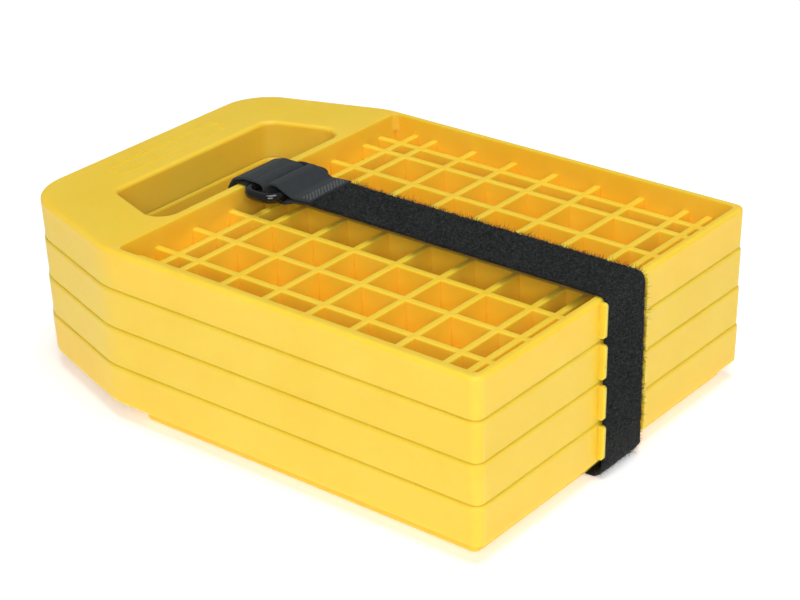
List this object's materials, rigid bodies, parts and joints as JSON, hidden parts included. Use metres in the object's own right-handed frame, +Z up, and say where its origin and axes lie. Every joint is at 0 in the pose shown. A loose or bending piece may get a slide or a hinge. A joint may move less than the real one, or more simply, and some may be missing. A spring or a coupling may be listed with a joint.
{
  "type": "leveling block set",
  "caption": "Stack of nesting plastic leveling pads with waffle tops and hand openings, held by a hook-and-loop cinch strap with a ring.",
  "frame": {"origin": "middle of the set's footprint, on the surface it stands on", "axes": "+X along the pads to their square end, -X to the handle; +Y across the pads; +Z up through the stack"},
  "size_m": [0.231, 0.165, 0.0756],
  "materials": {
    "yellow_plastic": "injection-moulded polypropylene, lightly grained, satin",
    "webbing": "woven strap with a brushed loop pile outside",
    "hook_tape": "hook tape",
    "thread": "polyester sewing thread",
    "ring_black": "gloss black coated steel wire"
  },
  "bodies": {
    "pad_1_base": {"pad_1": "yellow_plastic", "strap_bottom_run": "webbing", "strap_end_run_1": "webbing", "strap_handle_run_1": "webbing"},
    "pad_2_level": {"pad_2": "yellow_plastic", "strap_end_run_2": "webbing", "strap_handle_run_2": "webbing"},
    "pad_3_level": {"pad_3": "yellow_plastic", "strap_end_run_3": "webbing", "strap_handle_run_3": "webbing"},
    "pad_4_level": {"pad_4": "yellow_plastic", "strap_end_run_4": "webbing", "strap_handle_run_4": "webbing", "strap_top_run": "webbing", "strap_rim_bend": "webbing", "strap_sewn_loop": "webbing", "strap_stitching": "thread"},
    "ring_link": {"ring": "ring_black", "strap_ring_fold": "webbing"},
    "tail_flap": {"strap_tail": "webbing", "hook_patch": "hook_tape"}
  },
  "joints": [
    {"name": "pad_2_lift", "type": "slide", "parent": "pad_1_base", "child": "pad_2_level", "axis": [0, 0, 1], "range_m": [0, 0.025], "deforming": ["strap_end_run_2", "strap_handle_run_2"]},
    {"name": "pad_3_lift", "type": "slide", "parent": "pad_2_level", "child": "pad_3_level", "axis": [0, 0, 1], "range_m": [0, 0.025], "deforming": ["strap_end_run_3", "strap_handle_run_3"]},
    {"name": "pad_4_lift", "type": "slide", "parent": "pad_3_level", "child": "pad_4_level", "axis": [0, 0, 1], "range_m": [0, 0.025], "deforming": ["strap_end_run_4", "strap_handle_run_4"]},
    {"name": "ring_swing", "type": "hinge", "parent": "pad_4_level", "child": "ring_link", "pos_m": [-0.03215, 0, 0.0714], "axis": [0, 1, 0], "range_deg": [0, 15], "deforming": ["strap_ring_fold"]},
    {"name": "tail_peel", "type": "hinge", "parent": "ring_link", "child": "tail_flap", "pos_m": [-0.04625, 0, 0.0714], "axis": [0, 1, 0], "range_deg": [0, 130]}
  ]
}
